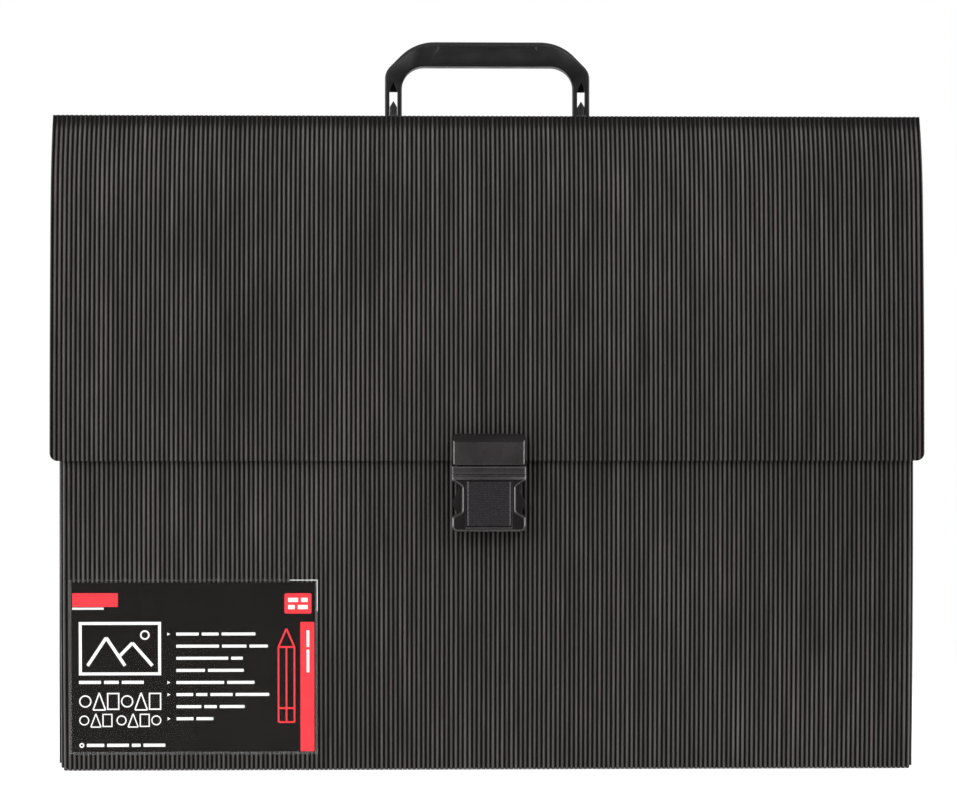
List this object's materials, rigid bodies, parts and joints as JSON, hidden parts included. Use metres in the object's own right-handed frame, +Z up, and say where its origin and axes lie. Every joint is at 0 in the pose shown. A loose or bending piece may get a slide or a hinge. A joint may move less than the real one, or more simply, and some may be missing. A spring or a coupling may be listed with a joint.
{
  "type": "portfolio case",
  "caption": "Ribbed plastic case for flat sheets, with an expanding pocket, a fold-over flap closed by a side-release buckle, and a carry handle that slides down into the spine.",
  "frame": {"origin": "middle of the base panel's underside, midway between the back panel's outer face and the fold of the front panel", "axes": "+X to the right as seen from the front, +Y to the back, +Z up towards the handle"},
  "size_m": [0.47, 0.0522, 0.395],
  "materials": {
    "ribbed_sheet": "fine-grained ribbed polypropylene",
    "gusset_sheet": "fine-grained polypropylene",
    "moulded": "satin moulding",
    "handle_moulding": "satin moulding",
    "buckle_moulding": "satin-gloss moulding",
    "rivet": "black",
    "webbing": "plain woven",
    "card": "printed card, black with red accents",
    "clear_film": "clear film"
  },
  "bodies": {
    "shell": {"back_panel": "ribbed_sheet", "base_panel": "ribbed_sheet", "left_gusset": "gusset_sheet", "right_gusset": "gusset_sheet"},
    "spine": {"spine_panel": "ribbed_sheet", "spine_crease": "ribbed_sheet", "handle_backing_plate": "moulded", "handle_anchor_left": "moulded", "handle_anchor_right": "moulded", "handle_rivets": "rivet"},
    "handle": {"handle": "handle_moulding"},
    "flap": {"flap_panel": "ribbed_sheet", "flap_crease": "ribbed_sheet", "buckle_tongue": "buckle_moulding", "tongue_backing_plate": "moulded", "tongue_rivets": "buckle_moulding"},
    "prong_left": {"prong_left": "buckle_moulding"},
    "prong_right": {"prong_right": "buckle_moulding"},
    "front": {"front_panel": "ribbed_sheet", "front_crease": "ribbed_sheet", "buckle_socket": "buckle_moulding", "socket_strap": "webbing", "socket_backing_plate": "moulded", "socket_rivets": "rivet", "label_card": "card", "label_sleeve": "clear_film"}
  },
  "joints": [
    {"name": "spine_fold", "type": "hinge", "parent": "shell", "child": "spine", "pos_m": [0, 0.0174, 0.3534], "axis": [-1, 0, 0], "range_deg": [0, 100], "deforming": ["spine_crease"]},
    {"name": "flap_fold", "type": "hinge", "parent": "spine", "child": "flap", "pos_m": [0, -0.01061, 0.3534], "axis": [-1, 0, 0], "range_deg": [0, 165], "deforming": ["flap_crease"]},
    {"name": "front_fold", "type": "hinge", "parent": "shell", "child": "front", "pos_m": [0, -0.0174, 0.0006], "axis": [1, 0, 0], "range_deg": [0, 9.9], "deforming": ["front_crease", "left_gusset", "right_gusset"]},
    {"name": "handle_slide", "type": "slide", "parent": "spine", "child": "handle", "axis": [0, 0, 1], "range_m": [-0.008, 0]},
    {"name": "prong_squeeze_left", "type": "hinge", "parent": "flap", "child": "prong_left", "pos_m": [-0.0147, -0.0297, 0.168], "axis": [0, -1, 0], "range_deg": [0, 8], "stiffness_Nm_per_rad": 0.3},
    {"name": "prong_squeeze_right", "type": "hinge", "parent": "flap", "child": "prong_right", "pos_m": [0.0147, -0.0297, 0.168], "axis": [0, -1, 0], "range_deg": [-8, 0], "stiffness_Nm_per_rad": 0.3}
  ],
  "couplings": [
    {"joint": "front_fold", "follows": "flap_fold", "ratio": 0.06},
    {"joint": "prong_squeeze_right", "follows": "prong_squeeze_left", "ratio": -1}
  ]
}
